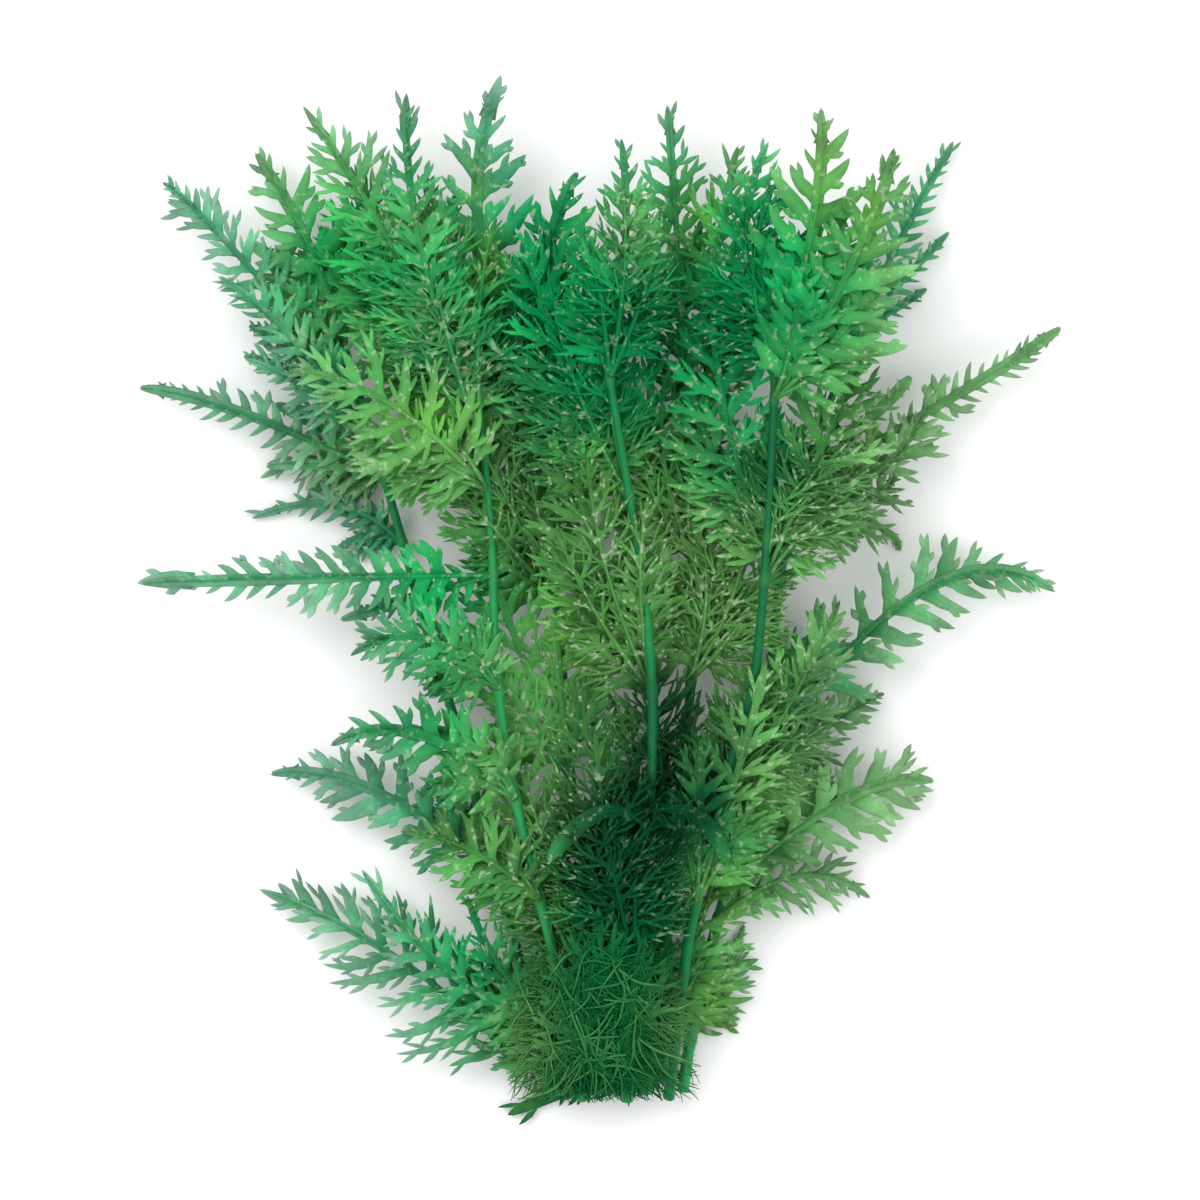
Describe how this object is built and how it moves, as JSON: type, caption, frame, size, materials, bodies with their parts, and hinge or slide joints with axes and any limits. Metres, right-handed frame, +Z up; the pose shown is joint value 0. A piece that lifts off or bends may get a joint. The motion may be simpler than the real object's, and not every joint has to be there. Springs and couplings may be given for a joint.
{
  "type": "water wisteria",
  "caption": "Bunch of water wisteria lying on its side: leafy green shoots with deeply cut leaves, and fine roots at their feet.",
  "frame": {"origin": "on the surface that the bunch lies on, under the middle of its outline", "axes": "+Y from the rooted feet of the stems to their growing tips, +Z up from the surface"},
  "size_m": [0.2509, 0.2821, 0.0546],
  "materials": {
    "leaf_teal": "satin",
    "leaf_emerald": "satin",
    "leaf_light": "satin",
    "leaf_olive": "satin",
    "leaf_dark": "satin",
    "stem": "satin",
    "root": "satin"
  },
  "bodies": {
    "root": {"stem_far_left": "stem", "stem_far_right": "stem", "stem_left": "stem", "stem_mid_right": "stem", "stem_mid_left": "stem", "stem_right": "stem", "stem_middle": "stem", "root_tuft_low": "root", "root_tuft": "root", "leaf_far_left_01": "leaf_teal", "leaf_far_left_02": "leaf_light", "leaf_far_left_03": "leaf_emerald", "leaf_far_left_04": "leaf_light", "leaf_far_left_05": "leaf_teal", "leaf_far_left_06": "leaf_teal", "leaf_far_left_07": "leaf_emerald", "leaf_far_left_08": "leaf_emerald", "leaf_far_left_09": "leaf_teal", "leaf_far_right_01": "leaf_teal", "leaf_far_right_02": "leaf_light", "leaf_far_right_03": "leaf_light", "leaf_far_right_04": "leaf_light", "leaf_far_right_05": "leaf_olive", "leaf_far_right_06": "leaf_olive", "leaf_far_right_07": "leaf_light", "leaf_far_right_08": "leaf_emerald", "leaf_far_right_09": "leaf_light", "leaf_left_01": "leaf_light", "leaf_left_02": "leaf_emerald", "leaf_left_03": "leaf_light", "leaf_left_04": "leaf_emerald", "leaf_left_05": "leaf_emerald", "leaf_left_06": "leaf_emerald", "leaf_left_07": "leaf_olive", "leaf_left_08": "leaf_emerald", "leaf_mid_right_01": "leaf_light", "leaf_mid_right_02": "leaf_emerald", "leaf_mid_right_03": "leaf_olive", "leaf_mid_right_04": "leaf_olive", "leaf_mid_right_05": "leaf_olive", "leaf_mid_right_06": "leaf_olive", "leaf_mid_left_01": "leaf_teal", "leaf_mid_left_02": "leaf_emerald", "leaf_mid_left_03": "leaf_emerald", "leaf_mid_left_04": "leaf_olive", "leaf_mid_left_05": "leaf_emerald", "leaf_mid_left_06": "leaf_olive", "leaf_right_01": "leaf_emerald", "leaf_right_02": "leaf_olive", "leaf_right_03": "leaf_olive", "leaf_right_04": "leaf_light", "leaf_right_05": "leaf_emerald", "leaf_right_06": "leaf_light", "leaf_right_07": "leaf_light", "leaf_middle_01": "leaf_emerald", "leaf_middle_02": "leaf_olive", "leaf_middle_03": "leaf_emerald", "leaf_middle_04": "leaf_dark", "leaf_middle_05": "leaf_emerald", "leaf_middle_06": "leaf_emerald"}
  },
  "joints": []
}
